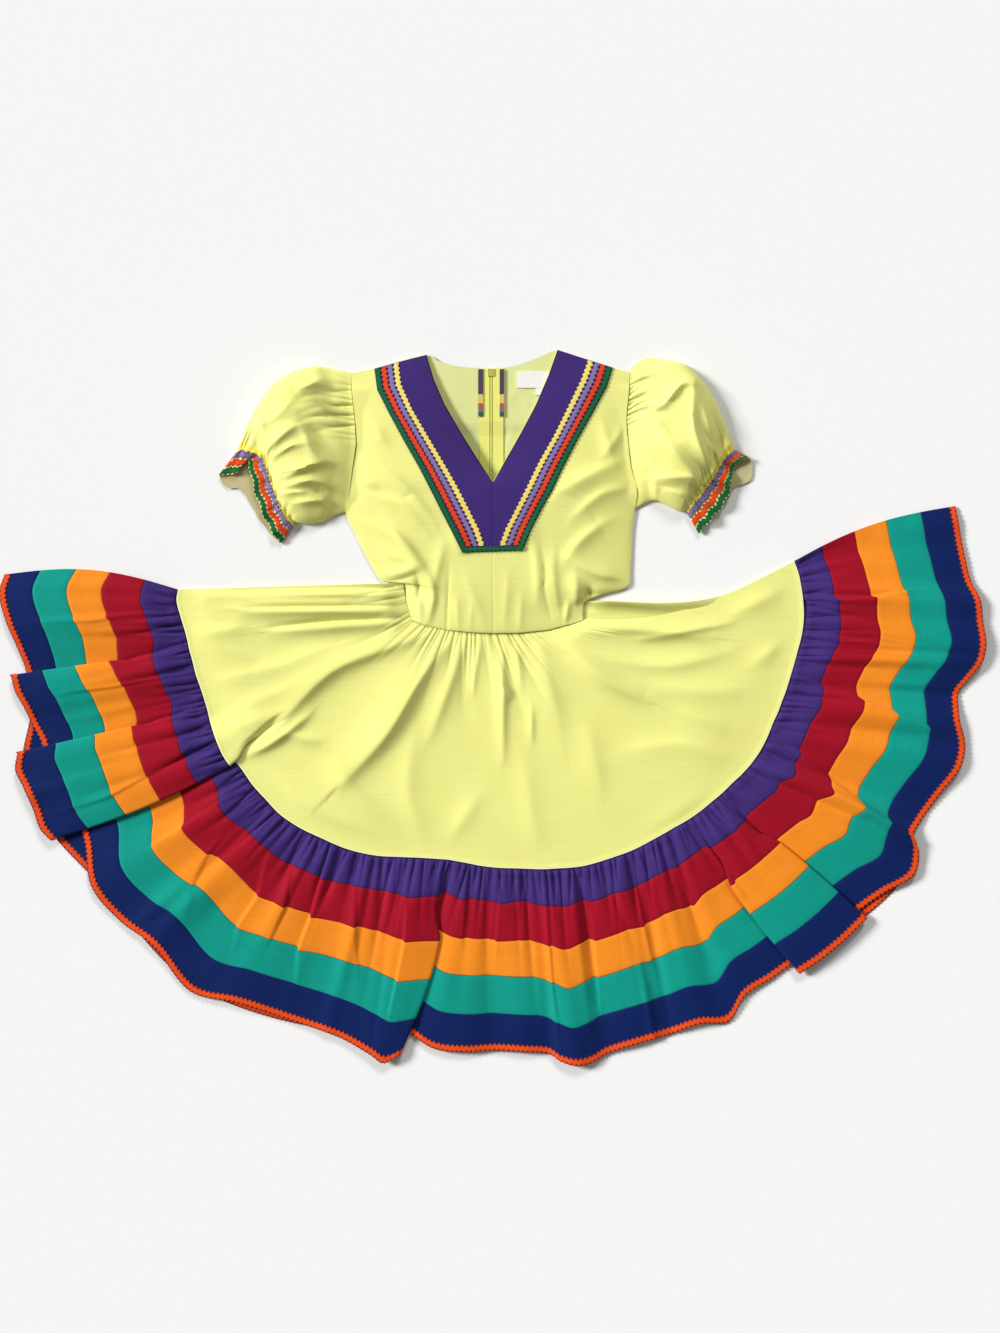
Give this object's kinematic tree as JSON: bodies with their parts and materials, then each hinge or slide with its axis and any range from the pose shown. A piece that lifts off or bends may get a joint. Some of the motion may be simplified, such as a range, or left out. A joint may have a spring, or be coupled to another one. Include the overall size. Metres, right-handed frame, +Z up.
{
  "type": "square dance dress",
  "caption": "Short-sleeved dress laid flat: V neck bodice with puffed sleeves, wide gathered skirt and a striped ruffle with rick rack trim",
  "frame": {"origin": "middle of the laid dress on the surface that it lies on", "axes": "+X across the skirt to the picture's right, +Y from hem to neck, +Z up from the surface, out of the dress's front"},
  "size_m": [1.38, 1.0011, 0.0382],
  "materials": {
    "cloth_yellow": "slubby crossweave cotton blend, matt",
    "cloth_purple": "plain weave cotton blend, matt",
    "cloth_crimson": "plain weave cotton blend, matt",
    "cloth_orange": "plain weave cotton blend, matt",
    "cloth_teal": "plain weave cotton blend, matt",
    "cloth_navy": "plain weave cotton blend, matt",
    "trim_hem": "braided rick rack with dark dotted edges",
    "trim_yellow": "braided rick rack with dark dotted edges",
    "trim_lilac": "braided rick rack with dark dotted edges",
    "trim_orange": "braided rick rack with dark dotted edges",
    "trim_green": "braided rick rack with dark dotted edges",
    "zip_tape": "woven tape",
    "zip_coil": "nylon coil",
    "zip_metal": "die cast, satin",
    "label": "woven label tape, blank"
  },
  "bodies": {
    "garment": {"ruffle_purple_front": "cloth_purple", "ruffle_crimson_front": "cloth_crimson", "ruffle_orange_front": "cloth_orange", "ruffle_teal_front": "cloth_teal", "ruffle_navy_front": "cloth_navy", "rickrack_hem_front": "trim_hem", "ruffle_purple_back": "cloth_purple", "ruffle_crimson_back": "cloth_crimson", "ruffle_orange_back": "cloth_orange", "ruffle_teal_back": "cloth_teal", "ruffle_navy_back": "cloth_navy", "rickrack_hem_back": "trim_hem", "skirt_front": "cloth_yellow", "skirt_back": "cloth_yellow", "bodice_front_left": "cloth_yellow", "bodice_back_left": "cloth_yellow", "neck_band_front_left": "cloth_purple", "neck_band_back_left": "cloth_purple", "rickrack_yellow_front_left": "trim_yellow", "rickrack_lilac_front_left": "trim_lilac", "rickrack_orange_front_left": "trim_orange", "rickrack_green_front_left": "trim_green", "rickrack_yellow_back_left": "trim_yellow", "rickrack_lilac_back_left": "trim_lilac", "rickrack_orange_back_left": "trim_orange", "rickrack_green_back_left": "trim_green", "sleeve_left": "cloth_yellow", "rickrack_lilac_sleeve_left": "trim_lilac", "rickrack_orange_sleeve_left": "trim_orange", "rickrack_green_sleeve_left": "trim_green", "zip_tape_left": "zip_tape", "trim_end_left": "cloth_purple", "bodice_front_right": "cloth_yellow", "bodice_back_right": "cloth_yellow", "neck_band_front_right": "cloth_purple", "neck_band_back_right": "cloth_purple", "rickrack_yellow_front_right": "trim_yellow", "rickrack_lilac_front_right": "trim_lilac", "rickrack_orange_front_right": "trim_orange", "rickrack_green_front_right": "trim_green", "rickrack_yellow_back_right": "trim_yellow", "rickrack_lilac_back_right": "trim_lilac", "rickrack_orange_back_right": "trim_orange", "rickrack_green_back_right": "trim_green", "sleeve_right": "cloth_yellow", "rickrack_lilac_sleeve_right": "trim_lilac", "rickrack_orange_sleeve_right": "trim_orange", "rickrack_green_sleeve_right": "trim_green", "zip_tape_right": "zip_tape", "trim_end_right": "cloth_purple", "rickrack_green_cross": "trim_green", "zip_coil": "zip_coil", "zip_slider": "zip_metal", "neck_label": "label", "size_tab": "label"},
    "zip_pull": {"zip_pull_tab": "zip_metal"}
  },
  "joints": [
    {"name": "zip_pull_swing", "type": "hinge", "parent": "garment", "child": "zip_pull", "pos_m": [-0.004, 0.4685, 0.0013], "axis": [1, 0, 0], "range_deg": [0, 165]}
  ]
}
